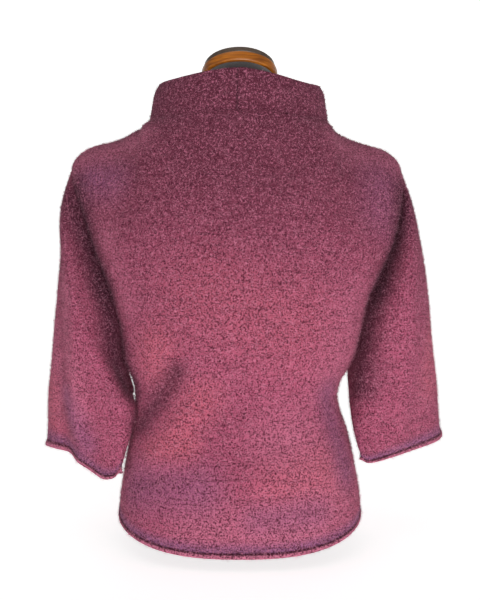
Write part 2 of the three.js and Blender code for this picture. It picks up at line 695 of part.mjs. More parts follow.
const knit = (color) => new THREE.MeshStandardMaterial({ color, roughness: 0.95, metalness: 0 });
const MATERIALS = {
  back_panel: knit(0x864156),
  front_panel: knit(0x864156),
  left_sleeve: knit(0x924c68),
  right_sleeve: knit(0x9c5570),
  collar: knit(0x723e51),
  form_torso: new THREE.MeshStandardMaterial({ color: 0x2a2021, roughness: 0.9, metalness: 0 }),
  form_cap_band: new THREE.MeshStandardMaterial({ color: 0x995e1f, roughness: 0.4, metalness: 0 }),
  form_cap_top: new THREE.MeshStandardMaterial({ color: 0x473930, roughness: 0.35, metalness: 0 }),
};

function addMesh(group, name, geometry) {
  geometry.computeVertexNormals();
  const mesh = new THREE.Mesh(geometry, MATERIALS[name]);
  mesh.name = name;
  group.add(mesh);
}

const part = new THREE.Group();
const sheets = [
  panelSheet('back_panel', BACK),
  panelSheet('front_panel', FRONT),
  sleeveSheet('left_sleeve', LEFT_SLEEVE),
  sleeveSheet('right_sleeve', RIGHT_SLEEVE),
  collarSheet('collar'),
];
const normalAt = sharedNormals(sheets);
for (const sheet of sheets) addMesh(part, sheet.name, clothWall(sheet, normalAt));
addMesh(part, 'form_torso', formGeometry());
addMesh(part, 'form_cap_band', bandGeometry());
addMesh(part, 'form_cap_top', topGeometry());

export default part;
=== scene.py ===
import math
from collections import namedtuple

import bmesh
import bpy
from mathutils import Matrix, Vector, noise


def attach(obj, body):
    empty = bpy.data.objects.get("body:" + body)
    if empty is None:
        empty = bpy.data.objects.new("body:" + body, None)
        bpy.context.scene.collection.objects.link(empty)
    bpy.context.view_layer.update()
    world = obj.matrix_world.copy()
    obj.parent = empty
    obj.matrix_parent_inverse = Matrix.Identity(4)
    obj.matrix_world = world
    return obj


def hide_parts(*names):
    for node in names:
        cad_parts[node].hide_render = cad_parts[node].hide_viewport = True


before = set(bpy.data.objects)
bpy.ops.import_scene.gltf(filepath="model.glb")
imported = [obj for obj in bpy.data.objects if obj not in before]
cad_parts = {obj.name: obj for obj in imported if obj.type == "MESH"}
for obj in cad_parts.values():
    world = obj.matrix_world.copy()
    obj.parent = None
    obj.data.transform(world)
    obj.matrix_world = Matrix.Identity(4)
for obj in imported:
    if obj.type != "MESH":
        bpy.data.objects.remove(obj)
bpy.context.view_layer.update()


# Form cover
# The limbless dress form under the pullover: torso and neck in one smooth padded shell, under a
# tight cover of black jersey. It keeps the solid's shape, with its corners merged and shaded smooth.

MM = 0.001
FORM_MERGE = 0.01
FORM_SHARP_EDGE = math.radians(35)

# Fineness of the jersey's ribs along each axis, in pattern steps a metre
JERSEY_RIBS = (900, 900, 225)


def dye(red, green, blue):
    """A colour given as display values from 0 to 255."""
    def linear(value):
        share = value / 255
        return share / 12.92 if share <= 0.04045 else ((share + 0.055) / 1.055) ** 2.4

    return (linear(red), linear(green), linear(blue), 1)


def feed(tree, node, inputs):
    """Sets a node's inputs, each from a value or from the socket that feeds it."""
    for key, source in inputs.items():
        if isinstance(source, bpy.types.NodeSocket):
            tree.links.new(source, node.inputs[key])
        else:
            node.inputs[key].default_value = source


def add(tree, kind, inputs=None, **settings):
    """A new shader or geometry node. Its settings come first, because they can change its inputs."""
    node = tree.nodes.new(kind)
    for key, value in settings.items():
        setattr(node, key, value)
    feed(tree, node, inputs or {})
    return node


def mix(tree, factor, one, two):
    """The blend of two colours, each a colour or the socket that gives it."""
    node = add(tree, "ShaderNodeMix", {"Factor": factor, "A": one, "B": two}, data_type="RGBA")
    return node.outputs["Result"]


def new_material(name, **sockets):
    """A material, its tree, its shader, and the place on the piece that its patterns follow."""
    made = bpy.data.materials.new(name)
    made.use_nodes = True
    tree = made.node_tree
    shader = tree.nodes["Principled BSDF"]
    feed(tree, shader, {key.replace("_", " "): value for key, value in sockets.items()})
    return made, tree, shader, add(tree, "ShaderNodeTexCoord").outputs["Object"]


def new_object(name, bm, finish):
    """Puts a finished bmesh into the scene, shaded smooth."""
    mesh = bpy.data.meshes.new(name)
    bm.to_mesh(mesh)
    bm.free()
    mesh.polygons.foreach_set("use_smooth", [True] * len(mesh.polygons))
    mesh.materials.append(finish)
    made = bpy.data.objects.new(name, mesh)
    bpy.context.scene.collection.objects.link(made)
    return made


def new_piece(name, bm, finish):
    """An object that is a piece of the product, and rides with the whole of it."""
    piece = new_object(name, bm, finish)
    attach(piece, "root")
    return piece


jersey, tree, shader, place = new_material("black jersey", Roughness=0.85, Sheen_Weight=0.15)
ribs = add(tree, "ShaderNodeMapping", {"Vector": place, "Scale": JERSEY_RIBS}).outputs[0]
loops = add(tree, "ShaderNodeTexNoise", {"Vector": ribs, "Scale": 1, "Detail": 3}).outputs["Fac"]
knobs = add(tree, "ShaderNodeBump", {"Height": loops, "Strength": 0.6, "Distance": 0.6 * MM})
feed(tree, shader, {
    "Base Color": mix(tree, loops, dye(16, 12, 13), dye(58, 47, 48)),
    "Normal": knobs.outputs["Normal"],
})

bm = bmesh.new()
bm.from_mesh(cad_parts["form_torso"].data)
bmesh.ops.remove_doubles(bm, verts=bm.verts, dist=FORM_MERGE * MM)
form_cover = new_piece("form_cover", bm, jersey)
form_cover.data.set_sharp_from_angle(angle=FORM_SHARP_EDGE)
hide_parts("form_torso")


# Neck cap
# A turned ring of honey-coloured wood closes the form's neck, under a thin lacquered dark disc.
# Both are turned about the neck's axis, which leans back a little.

NECK_TOP_Z = 635
NECK_TILT = math.radians(13.5)
NECK_X = -1.4
ROUND_STEPS = 96
BAND = {"r": 53.2, "height": 14.6, "edge": 3}
DISC = {"r": 50, "height": 8, "dome": 2, "edge": 2}
DOME_POINT = {"r": 0.55, "rise": 0.7}
FACE_GAP = 0.3
SAME_POINT = 0.001

# Fineness of the wood's grain along each axis, in pattern steps a metre
WOOD_GRAIN = (14, 60, 420)


def turned(profile, foot):
    """A solid of revolution from (radius, height) rows, set on the form's leaning neck."""
    bm = bmesh.new()
    corners = [bm.verts.new((radius, 0, height + foot)) for radius, height in profile]
    line = [bm.edges.new(pair) for pair in zip(corners, corners[1:])]
    bmesh.ops.spin(bm, geom=corners + line, axis=(0, 0, 1), cent=(0, 0, 0), angle=math.tau,
                   steps=ROUND_STEPS, use_merge=True)
    bmesh.ops.remove_doubles(bm, verts=bm.verts, dist=SAME_POINT)
    bmesh.ops.recalc_face_normals(bm, faces=bm.faces)
    neck_axis = Vector((0, math.sin(NECK_TILT), math.cos(NECK_TILT)))
    lean = Vector((0, 0, 1)).rotation_difference(neck_axis).to_matrix()
    bmesh.ops.rotate(bm, verts=bm.verts, cent=(0, 0, 0), matrix=lean)
    bmesh.ops.translate(bm, verts=bm.verts, vec=(NECK_X, 0, NECK_TOP_Z))
    bmesh.ops.scale(bm, verts=bm.verts, vec=(MM, MM, MM))
    return bm


def arc(centre_r, centre_z, radius, start, stop, steps=5):
    """Points of a rounded corner in a profile, its angles in degrees from straight out."""
    angles = [math.radians(start + (stop - start) * i / steps) for i in range(steps + 1)]
    return [(centre_r + radius * math.cos(a), centre_z + radius * math.sin(a)) for a in angles]


wood, tree, shader, place = new_material(
    "turned honey wood", Roughness=0.42, Coat_Weight=0.2, Coat_Roughness=0.2)
board = add(tree, "ShaderNodeMapping", {
    "Vector": place, "Scale": WOOD_GRAIN, "Rotation": (NECK_TILT, 0, 0)})
grain = add(tree, "ShaderNodeTexNoise", {
    "Vector": board.outputs[0], "Scale": 1, "Detail": 5, "Distortion": 0.6}).outputs["Fac"]
honey = add(tree, "ShaderNodeValToRGB", {"Fac": grain})
early_wood, late_wood = honey.color_ramp.elements
early_wood.position = 0.3
early_wood.color = dye(112, 56, 6)
late_wood.position = 0.7
late_wood.color = dye(196, 114, 18)
pores = add(tree, "ShaderNodeBump", {"Height": grain, "Strength": 0.25, "Distance": 0.4 * MM})
feed(tree, shader, {"Base Color": honey.outputs["Color"], "Normal": pores.outputs["Normal"]})

edge = BAND["edge"]
band_profile = [
    (0, 0),
    *arc(BAND["r"] - edge, edge, edge, -90, 0),
    *arc(BAND["r"] - edge, BAND["height"] - edge, edge, 0, 90),
    (0, BAND["height"]),
]
wooden_band = new_piece("wooden_band", turned(band_profile, FACE_GAP), wood)
wooden_band.data.set_sharp_from_angle(angle=FORM_SHARP_EDGE)
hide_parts("form_cap_band")

lacquer, tree, shader, place = new_material("dark lacquer", Coat_Weight=0.3)
scuffs = add(tree, "ShaderNodeTexNoise", {"Vector": place, "Scale": 180, "Detail": 4}).outputs["Fac"]
dull = add(tree, "ShaderNodeMapRange", {"Value": scuffs, "To Min": 0.3, "To Max": 0.5})
feed(tree, shader, {
    "Base Color": mix(tree, scuffs, dye(58, 44, 36), dye(96, 80, 68)),
    "Roughness": dull.outputs["Result"],
})

edge = DISC["edge"]
disc_profile = [
    (0, 0),
    (DISC["r"] - edge, 0),
    *arc(DISC["r"] - edge, edge, edge, -60, 0, 3),
    *arc(DISC["r"] - edge, DISC["height"] - edge, edge, 0, 80),
    (DISC["r"] * DOME_POINT["r"], DISC["height"] + DISC["dome"] * DOME_POINT["rise"]),
    (0, DISC["height"] + DISC["dome"]),
]
disc_foot = BAND["height"] + 2 * FACE_GAP
neck_disc = new_piece("neck_disc", turned(disc_profile, disc_foot), lacquer)
neck_disc.data.set_sharp_from_angle(angle=FORM_SHARP_EDGE)
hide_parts("form_cap_top")


# Wool
# The cloth is a fine cashmere jersey, milled and brushed: mauve fibres mixed with dark maroon and
# light pink ones, felted over the stitches. Every cut piece and its raised fibres share this dye,
# and the painted light and shade laid over it.

# Mauve and the two fibre colours are the cloth's own. Rose and pink are painted highlights, bluish and
# deep are painted shade, and shade is painted shadow.
MAUVE = dye(178, 86, 115)
ROSE_LIGHT = dye(204, 102, 118)
PINK_LIGHT = dye(210, 120, 148)
BLUISH_SHADE = dye(150, 92, 132)
DEEP_SHADE = dye(90, 37, 54)
SHADE = dye(50, 16, 34)
DARK_FIBRE = dye(74, 20, 40)
LIGHT_FIBRE = dye(208, 122, 150)

# Heights in metres: the cloth is mauve below the first, and above the second it is darkest with painted
# shade, which darkens it towards the top
MAUVE_TO = 0.15
TOP_SHADE_FROM = 0.66

# Zones of painted light and shade, in millimetres: strongest on a straight run, and gone at its reach.
# The rose and pink ones are painted highlights and the bluish and deep ones painted shade. The
# darkest are painted shadow where the cloth turns in beside a sleeve and in the deepest fold of the
# waist.
Patch = namedtuple("Patch", "start stop reach strength tone")
LIGHT_AND_SHADE_PATCHES = [
    Patch((60, -110, 300), (-40, -110, 330), 110, 0.3, ROSE_LIGHT),
    Patch((-108, -100, 270), (-112, -100, 235), 50, 0.6, ROSE_LIGHT),
    Patch((-50, -110, 205), (-80, -110, 165), 50, 0.6, ROSE_LIGHT),
    Patch((-110, -88, 138), (-70, -104, 142), 34, 0.6, ROSE_LIGHT),
    Patch((60, -112, 150), (115, -95, 90), 80, 0.6, PINK_LIGHT),
    Patch((45, -110, 92), (105, -98, 112), 60, 0.5, ROSE_LIGHT),
    Patch((135, -60, 330), (120, -60, 230), 70, 0.4, PINK_LIGHT),
    Patch((-50, -118, 40), (80, -118, 40), 70, 0.6, PINK_LIGHT),
    Patch((-135, -80, 90), (-50, -105, 95), 55, 0.6, BLUISH_SHADE),
    Patch((116, -68, 205), (138, -70, 110), 40, 0.7, BLUISH_SHADE),
    Patch((20, -115, 62), (100, -115, 68), 34, 0.5, BLUISH_SHADE),
    Patch((-188, -88, 440), (-152, -95, 311), 34, 0.5, PINK_LIGHT),
    Patch((-196, -50, 490), (-160, -50, 480), 50, 0.6, BLUISH_SHADE),
    Patch((190, -60, 490), (180, -60, 440), 60, 0.4, BLUISH_SHADE),
    Patch((-226, -70, 345), (-212, -50, 180), 26, 0.6, PINK_LIGHT),
    Patch((-230, -40, 200), (-205, -45, 140), 34, 0.7, BLUISH_SHADE),
    Patch((-222, -20, 530), (-140, -50, 545), 50, 0.6, PINK_LIGHT),
    Patch((212, -20, 528), (135, -50, 540), 50, 0.5, PINK_LIGHT),
    Patch((-238, -20, 340), (-246, -10, 190), 46, 0.45, PINK_LIGHT),
    Patch((240, -20, 360), (250, -10, 200), 40, 0.3, PINK_LIGHT),
    Patch((-262, -10, 210), (-262, 0, 160), 40, 0.5, ROSE_LIGHT),
    Patch((258, -10, 290), (262, -10, 220), 50, 0.5, ROSE_LIGHT),
    Patch((-80, -99, 242), (-134, -62, 168), 26, 0.75, SHADE),
    Patch((-222, -40, 475), (-180, -48, 350), 40, 0.95, SHADE),
    Patch((-180, -48, 350), (-154, -50, 215), 38, 0.9, SHADE),
    Patch((216, -38, 470), (188, -46, 345), 38, 0.95, SHADE),
    Patch((188, -46, 345), (164, -40, 215), 38, 0.95, SHADE),
    Patch((0, -110, 530), (0, -110, 500), 130, 0.3, DEEP_SHADE),
    Patch((-112, 0, 580), (-104, 0, 620), 40, 0.5, DEEP_SHADE),
    Patch((108, 0, 580), (102, 0, 620), 40, 0.5, DEEP_SHADE),
]

# Bands of painted light and shade beside a raw edge: painted shade above the roll, a painted
# shadow of the roll, and a painted highlight on it. Each starts at one distance from the edge, in
# millimetres, and is full at the next
EdgeLightBand = namedtuple("EdgeLightBand", "start full tone")
EDGE_LIGHT_BANDS = [EdgeLightBand(24, 9, BLUISH_SHADE), EdgeLightBand(8.5, 6.5, SHADE), EdgeLightBand(5.8, 4.2, PINK_LIGHT)]


def new_group(name, inputs, outputs):
    """A shader node group, the sockets that give its inputs, and the node for its outputs."""
    group = bpy.data.node_groups.new(name, "ShaderNodeTree")
    for label, kind in inputs:
        group.interface.new_socket(name=label, in_out="INPUT", socket_type="NodeSocket" + kind)
    for label, kind in outputs:
        group.interface.new_socket(name=label, in_out="OUTPUT", socket_type="NodeSocket" + kind)
    return group, group.nodes.new("NodeGroupInput").outputs, group.nodes.new("NodeGroupOutput")


def soft_mask(tree, value, start, stop, strength=1):
    """0 before start and the full strength after stop, with a smooth rise between them."""
    node = add(tree, "ShaderNodeMapRange", {
        "Value": value,
        "From Min": start,
        "From Max": stop,
        "To Max": strength,
    }, interpolation_type="SMOOTHSTEP")
    return node.outputs["Result"]


def vector_step(tree, operation, inputs):
    """The outputs of one step of vector arithmetic."""
    return add(tree, "ShaderNodeVectorMath", inputs, operation=operation).outputs


# The cloth's own mauve darkens with painted shade towards the neck, takes painted highlights in pinker
# zones and painted shade in bluer ones, and has a painted shadow and highlight at the rolled edge
dye_and_painted_light, given, result = new_group(
    "uneven dye", [("Place", "Vector"), ("From Edge", "Float")], [("Color", "Color")])
height = add(dye_and_painted_light, "ShaderNodeSeparateXYZ", {"Vector": given["Place"]}).outputs["Z"]
# Painted shade: the colour darkens towards the top of the garment.
tone = mix(dye_and_painted_light, soft_mask(dye_and_painted_light, height, TOP_SHADE_FROM, MAUVE_TO), DEEP_SHADE, MAUVE)
# Each zone lays a painted highlight or painted shade over the colour.
for patch in LIGHT_AND_SHADE_PATCHES:
    start = Vector(patch.start) * MM
    run = Vector(patch.stop) * MM - start
    offset = vector_step(dye_and_painted_light, "SUBTRACT", {0: given["Place"], 1: start})[0]
    share = vector_step(dye_and_painted_light, "DOT_PRODUCT", {0: offset, 1: run / run.length_squared})["Value"]
    on_run = add(dye_and_painted_light, "ShaderNodeClamp", {"Value": share}).outputs[0]
    nearest = vector_step(dye_and_painted_light, "SCALE", {0: run, "Scale": on_run})[0]
    away = vector_step(dye_and_painted_light, "DISTANCE", {0: offset, 1: nearest})["Value"]
    near = soft_mask(dye_and_painted_light, away, patch.reach * MM, 0, patch.strength)
    tone = mix(dye_and_painted_light, near, tone, patch.tone)
# Painted shade above the rolled edge, the painted shadow of the roll, and a painted highlight on it.
for band in EDGE_LIGHT_BANDS:
    beside = soft_mask(dye_and_painted_light, given["From Edge"], band.start, band.full)
    tone = mix(dye_and_painted_light, beside, tone, band.tone)
feed(dye_and_painted_light, result, {"Color": tone})

# The mixed fibres felted into the face of the cloth, and how high they lie: two sets of flecks,
# thin light curls along one level of a third pattern, and streaks that follow the knitted rows.
# Each pair of levels is where a pattern starts to show and where it shows in full.
OTHER_PLACE = (3.1, 1.7, 5.3)
KNITTED_ROWS = (22, 22, 420)
DARK_FLECKS = (0.48, 0.58)
LIGHT_FLECKS = (0.54, 0.66)
STREAKS = (0.5, 0.75)
CURL_LEVEL = 0.5
CURL_WIDTH = 0.02
STREAK_SHOWS = 0.55
DARK_SHOWS = 0.9
LIGHT_SHOWS = 0.6

felted_fibres, given, result = new_group(
    "felted fibres",
    [("Place", "Vector"), ("Ground", "Color"), ("Dark Fibre", "Color"), ("Light Fibre", "Color")],
    [("Color", "Color"), ("Height", "Float")],
)


def cloth_pattern(place, **settings):
    """A noise texture on the cloth, as its value."""
    return add(felted_fibres, "ShaderNodeTexNoise", {"Vector": place, **settings}).outputs["Fac"]


shifted = vector_step(felted_fibres, "ADD", {0: given["Place"], 1: OTHER_PLACE})[0]
rows = add(felted_fibres, "ShaderNodeMapping", {"Vector": given["Place"], "Scale": KNITTED_ROWS})
dark = soft_mask(felted_fibres, cloth_pattern(given["Place"], Scale=520, Detail=2), *DARK_FLECKS)
light = soft_mask(felted_fibres, cloth_pattern(shifted, Scale=430, Detail=2), *LIGHT_FLECKS)
streak = soft_mask(felted_fibres, cloth_pattern(rows.outputs[0], Scale=1, Detail=3), *STREAKS)
curls = cloth_pattern(shifted, Scale=150, Detail=1, Distortion=1.2)
off_line = add(felted_fibres, "ShaderNodeMath", {0: curls, 1: CURL_LEVEL}, operation="SUBTRACT")
line = add(felted_fibres, "ShaderNodeMath", {0: off_line.outputs[0]}, operation="ABSOLUTE")
curl = soft_mask(felted_fibres, line.outputs[0], CURL_WIDTH, 0)
tone = mix(felted_fibres, streak, given["Ground"], given["Dark Fibre"])
tone = mix(felted_fibres, STREAK_SHOWS, given["Ground"], tone)
darkened = mix(felted_fibres, DARK_SHOWS, tone, given["Dark Fibre"])
lightened = mix(felted_fibres, LIGHT_SHOWS, tone, given["Light Fibre"])
tone = mix(felted_fibres, dark, tone, darkened)
tone = mix(felted_fibres, light, tone, lightened)
tone = mix(felted_fibres, curl, tone, lightened)
relief = add(felted_fibres, "ShaderNodeMath", {0: light, 1: dark}, operation="SUBTRACT")
feed(felted_fibres, result, {"Color": tone, "Height": relief.outputs[0]})


def ground_and_painted_light(tree, place):
    """The ground colour under a material's fibres, with its painted light and shade, read from the
    piece's own place and edges.
    """
    from_edge = add(tree, "ShaderNodeAttribute", attribute_name="from_edge").outputs["Fac"]
    ground = add(tree, "ShaderNodeGroup", {"Place": place, "From Edge": from_edge}, node_tree=dye_and_painted_light)
    return ground.outputs["Color"]


wool, tree, shader, place = new_material(
    "brushed cashmere",
    Roughness=0.95,
    Sheen_Weight=0.12,
    Sheen_Roughness=0.6,
    Sheen_Tint=dye(226, 150, 176),
    Specular_IOR_Level=0.2,
)
face = add(tree, "ShaderNodeGroup", {
    "Place": place,
    "Ground": ground_and_painted_light(tree, place),
    "Dark Fibre": DARK_FIBRE,
    "Light Fibre": LIGHT_FIBRE,
}, node_tree=felted_fibres)
nap_bump = add(tree, "ShaderNodeBump", {
    "Height": face.outputs["Height"], "Strength": 0.7, "Distance": 0.8 * MM})
feed(tree, shader, {"Base Color": face.outputs["Color"], "Normal": nap_bump.outputs["Normal"]})


# Back panel
# The back is cut in one from the hem to the neck seam and flares into deep armholes, with a
# slight shoulder slope. It hangs from the shoulders and breaks into soft folds at the waist.

# Half widths and half depths of the body at each height, in millimetres
Section = namedtuple("Section", "z left right back front")
BODY = [
    Section(15, 161, 159, 124, 112),
    Section(38, 165, 163, 124, 112),
    Section(60, 165, 164, 122, 112),
    Section(106, 158, 156, 116, 110),
    Section(150, 151, 147, 109, 106),
    Section(195, 145, 133, 104, 106),
    Section(222, 148, 138, 106, 110),
    Section(242, 157, 150, 109, 114),
    Section(290, 161, 162, 116, 124),
    Section(330, 170, 171, 120, 130),
    Section(355, 179, 182, 122, 131),
    Section(408, 199, 206, 124, 128),
    Section(450, 213, 216, 122, 118),
    Section(485, 227, 222, 120, 110),
    Section(516, 234, 222, 118, 104),
]

# Height of the shoulder line on each side, from the neck point (share 0) to the tip (share 1)
Shoulder = namedtuple("Shoulder", "share left right")
SHOULDER = [
    Shoulder(0, 569, 569),
    Shoulder(0.08, 566, 562),
    Shoulder(0.16, 561.5, 557.5),
    Shoulder(0.28, 555, 552.5),
    Shoulder(0.45, 549, 547),
    Shoulder(0.68, 544, 541.5),
    Shoulder(0.85, 536, 533.5),
    Shoulder(0.96, 526, 524),
    Shoulder(1, 517, 515),
]
SHOULDER_TIP = {"left": 234, "right": 222}
CLOTH_THICKNESS = 2.5
SEAM_GAP = 0.3
UNDERARM_Z = 242
SIDE_LENGTH = 200
HEM_SIDE_Z = 43
NECK_HALF_WIDTH = {"left": 135, "right": 126}
NECK_POINT_Z = 569

# Powers of the curves: the body's rounded section, the drop of the hem, how late the top of a
# panel takes the round of the neck, and the turn over at the middle and at the shoulder
SIDE_ROUNDNESS = 2.5
HEM_CURVE = 1.3
NECK_SPREAD = 6
CROWN_POWER = {"middle": 2.2, "shoulder": 2}

# Where a smooth change starts and ends: the first two by distance from the centre line, and how
# the folds fade by roundness towards the side and by height towards the shoulder
NECK_SLOPE_SPAN = (20, 200)
SHOULDER_SPAN = (30, 150)
FOLD_SIDE_FADE = (0.1, 0.7)
FOLD_TOP_FADE = (0.75, 0.97)

# The slight waviness of milled cloth: how far it stands out, and how wide its waves are
Wave = namedtuple("Wave", "out wide")
WAVES = [Wave(0.8, 42), Wave(0.35, 17)]

# The rolled raw edge: how far the face stands out, by height above the edge. Above the roll the
# cloth eases back to its face, and its waviness grows, within these shares of the side.
Roll = namedtuple("Roll", "up out")
ROLL = [Roll(0, 0.5), Roll(2.2, 2.0), Roll(4.8, 1.2), Roll(7.5, -0.4), Roll(15, -0.9)]
ROLL_HEIGHTS = [0, 0.7, 1.4, 2.2, 3.4, 4.8, 6, 7.5, 9.5, 12, 15]
ROLL_EASE = 0.15
WAVES_EASE = 0.2

# Numbers of steps, which the sleeves and the collar share where they meet the panels
NECK_STEPS = 84
SHOULDER_STEPS = 26
SIDE_STEPS = 50
ARMHOLE_STEPS = 90

# Soft folds: a straight run, its half width, and how far it stands out, or in where negative
Fold = namedtuple("Fold", "from_x from_z to_x to_z wide out")
BACK_FOLDS = [
    Fold(-84, 234, -132, 168, 13, -7),
    Fold(-112, 268, -146, 215, 18, 4),
    Fold(-66, 196, -112, 140, 18, 5),
    Fold(-128, 104, -58, 118, 12, -3),
    Fold(10, 108, 92, 116, 26, 5),
    Fold(98, 215, 112, 135, 12, 3),
    Fold(118, 205, 134, 128, 14, -5),
    Fold(-150, 400, -60, 470, 34, 4),
    Fold(70, 450, 150, 398, 34, 4),
    Fold(-40, 512, 44, 508, 30, -3),
]

# What differs between the panels: the way that one faces, its column of the body's depths, the
# depth and rise of its neck, the drop of its hem, and the depth of its armhole
Panel = namedtuple("Panel", "away depth neck_depth neck_rise hem_drop armhole_depth folds")
BACK = Panel(
    away=-1, depth="back", neck_depth=80, neck_rise=3, hem_drop=29, armhole_depth=32, folds=BACK_FOLDS)


def lerp(start, stop, share):
    """The value a share of the way from start to stop."""
    return start + (stop - start) * share


def rise(place, start, stop):
    """0 before start and 1 after stop, with a smooth rise between them."""
    share = min(max((place - start) / (stop - start), 0), 1)
    return share * share * (3 - 2 * share)


def along(table, key, place, column):
    """A smooth curve through one column of a table, read at a place along its key column."""
    last = len(table) - 1
    i = 0
    while i < last - 1 and place > getattr(table[i + 1], key):
        i += 1

    def slope(j):
        before, after = table[max(j - 1, 0)], table[min(j + 1, last)]
        run = getattr(after, key) - getattr(before, key)
        return (getattr(after, column) - getattr(before, column)) / run

    here, there = table[i], table[i + 1]
    span = getattr(there, key) - getattr(here, key)
    share = min(max((place - getattr(here, key)) / span, 0), 1)
    leave = share * (1 - share) ** 2 * span * slope(i)
    arrive = share ** 2 * (1 - share) * span * slope(i + 1)
    return lerp(getattr(here, column), getattr(there, column), rise(share, 0, 1)) + leave - arrive


def fold_out(folds, across, up):
    """How far a table of folds pushes a point out, by its distance from each fold's run."""
    out = 0
    for fold in folds:
        run = Vector((fold.to_x - fold.from_x, fold.to_z - fold.from_z))
        here = Vector((across - fold.from_x, up - fold.from_z))
        share = min(max(here.dot(run) / run.length_squared, 0), 1)
        out += fold.out * math.exp(-((here - run * share).length / fold.wide) ** 2)
    return out


def side_of(x):
    """The wearer's side that a place lies on."""
    return "left" if x < 0 else "right"


def shoulder_z(x):
    """Height of the shoulder seam."""
    neck = NECK_HALF_WIDTH[side_of(x)]
    share = (abs(x) - neck) / (SHOULDER_TIP[side_of(x)] - neck)
    return along(SHOULDER, "share", share, side_of(x))


def panel_top(panel, x, up):
    """Height and depth of a panel's top edge: neck seam near the centre, shoulder seam beyond."""
    neck = math.sqrt(max(0, 1 - (x / NECK_HALF_WIDTH[side_of(x)]) ** 2))
    spread = 1 - rise(abs(x), *NECK_SLOPE_SPAN)
    depth = panel.neck_depth * lerp(spread, neck, up ** NECK_SPREAD)
    return (shoulder_z(x) if neck == 0 else NECK_POINT_Z + panel.neck_rise * neck), depth


def hem_z(panel, roundness):
    """Height of the raw hem, which drops from the sides to the middle."""
    return HEM_SIDE_Z - panel.hem_drop * roundness ** HEM_CURVE


def panel_point(panel, share, height=None, turn=None):
    """A point on a panel's face. share runs from -1 at the left edge to 1 at the right one.
    Below the underarm, height gives its z from its roundness. Above it, turn goes round the
    armhole, from 0 at the underarm to half a turn at the shoulder."""
    column = side_of(share)
    roundness = max(0, 1 - abs(share) ** SIDE_ROUNDNESS) ** (1 / SIDE_ROUNDNESS)
    keep = 1
    if turn is None:
        z = height(roundness)
        y = along(BODY, "z", z, panel.depth) * roundness
    else:
        top_x = along(BODY, "z", NECK_POINT_Z, column) * share
        up = (1 - math.cos(turn)) / 2
        top_z, top_depth = panel_top(panel, top_x, up)
        z = lerp(UNDERARM_Z, top_z, up)
        shoulder = rise(abs(top_x), *SHOULDER_SPAN)
        power = lerp(CROWN_POWER["middle"], CROWN_POWER["shoulder"], shoulder)
        swell = (1 - up ** power) ** (1 / lerp(1, CROWN_POWER["shoulder"], shoulder))
        side = panel.armhole_depth * math.sin(turn)
        section = lerp(side, along(BODY, "z", z, panel.depth), roundness)
        y = section * swell + top_depth * (1 - swell) + side * (1 - swell) * (1 - roundness)
        keep = 1 - rise(up, *FOLD_TOP_FADE)
    x = along(BODY, "z", z, column) * share
    y += fold_out(panel.folds, x, z) * rise(roundness, *FOLD_SIDE_FADE) * keep
    return Vector((x, panel.away * y, z))


def panel_shares():
    """Places of a panel's columns, close together where the neck seam turns."""
    shares = []
    for side in (-1, 1):
        neck_share = NECK_HALF_WIDTH[side_of(side)] / SHOULDER_TIP[side_of(side)]
        for i in range(0 if side < 0 else 1, NECK_STEPS // 2 + 1):
            shares.append(side * neck_share * math.sin(math.pi * i / NECK_STEPS))
        for i in range(1, SHOULDER_STEPS + 1):
            shares.append(side * lerp(neck_share, 1, math.sin(math.pi * i / (2 * SHOULDER_STEPS))))
    return sorted(shares)


def cloth_grid(columns, rows, place):
    """A grid of cloth. place gives each corner's point, relief and distance from a raw edge."""
    bm = bmesh.new()
    from_edge = bm.verts.layers.float.new("from_edge")
    bmesh.ops.create_grid(bm, x_segments=columns, y_segments=rows, size=1)
    relief = {}
    for corner in bm.verts:
        column = round((corner.co.x + 1) / 2 * columns)
        row = round((corner.co.y + 1) / 2 * rows)
        corner.co, relief[corner], corner[from_edge] = place(column, row)
    bm.normal_update()
    for corner in bm.verts:
        corner.co += corner.normal * relief[corner]
    return bm


def part_seams(bm, is_seam):
    """Draws the edges that are sewn half the seam gap back into their own piece."""
    moves = {}
    for corner in bm.verts:
        if corner.is_boundary and is_seam(corner):
            inner = [edge.other_vert(corner).co for edge in corner.link_edges if not edge.is_boundary]
            if inner:
                target = sum(inner, Vector()) / len(inner)
            else:
                target = corner.link_faces[0].calc_center_median()
            moves[corner] = (target - corner.co).normalized() * SEAM_GAP / 2
    for corner, move in moves.items():
        corner.co += move


def unevenness(point):
    """The waviness at a point, the same on both sides of a seam."""
    return sum(wave.out * noise.noise(point / wave.wide) for wave in WAVES)


def panel_grid(panel):
    """The face of a panel: its rolled hem, then its sides, then its armholes up to the neck."""
    shares = panel_shares()
    if panel.away > 0:
        shares.reverse()
    band = ROLL_HEIGHTS[-1]
    rows = len(ROLL_HEIGHTS) - 1 + SIDE_STEPS + ARMHOLE_STEPS

    def place(column, row):
        share = shares[column]
        side_row = row - len(ROLL_HEIGHTS) + 1
        if side_row <= 0:
            up = ROLL_HEIGHTS[row]
            point = panel_point(panel, share, height=lambda r: hem_z(panel, r) + up)
            return point, along(ROLL, "up", up, "out"), up
        if side_row <= SIDE_STEPS:
            climb = side_row / SIDE_STEPS
            point = panel_point(
                panel, share, height=lambda r: lerp(hem_z(panel, r) + band, UNDERARM_Z, climb))
        else:
            climb = 1
            point = panel_point(panel, share, turn=math.pi * (side_row - SIDE_STEPS) / ARMHOLE_STEPS)
        easing = ROLL[-1].out * (1 - rise(climb, 0, ROLL_EASE))
        waves = unevenness(point) * rise(climb, 0, WAVES_EASE)
        return point, easing + waves, band + SIDE_LENGTH * climb

    bm = cloth_grid(len(shares) - 1, rows, place)
    from_edge = bm.verts.layers.float["from_edge"]
    part_seams(bm, lambda corner: corner[from_edge] > 0)
    bmesh.ops.scale(bm, verts=bm.verts, vec=(MM, MM, MM))
    return bm


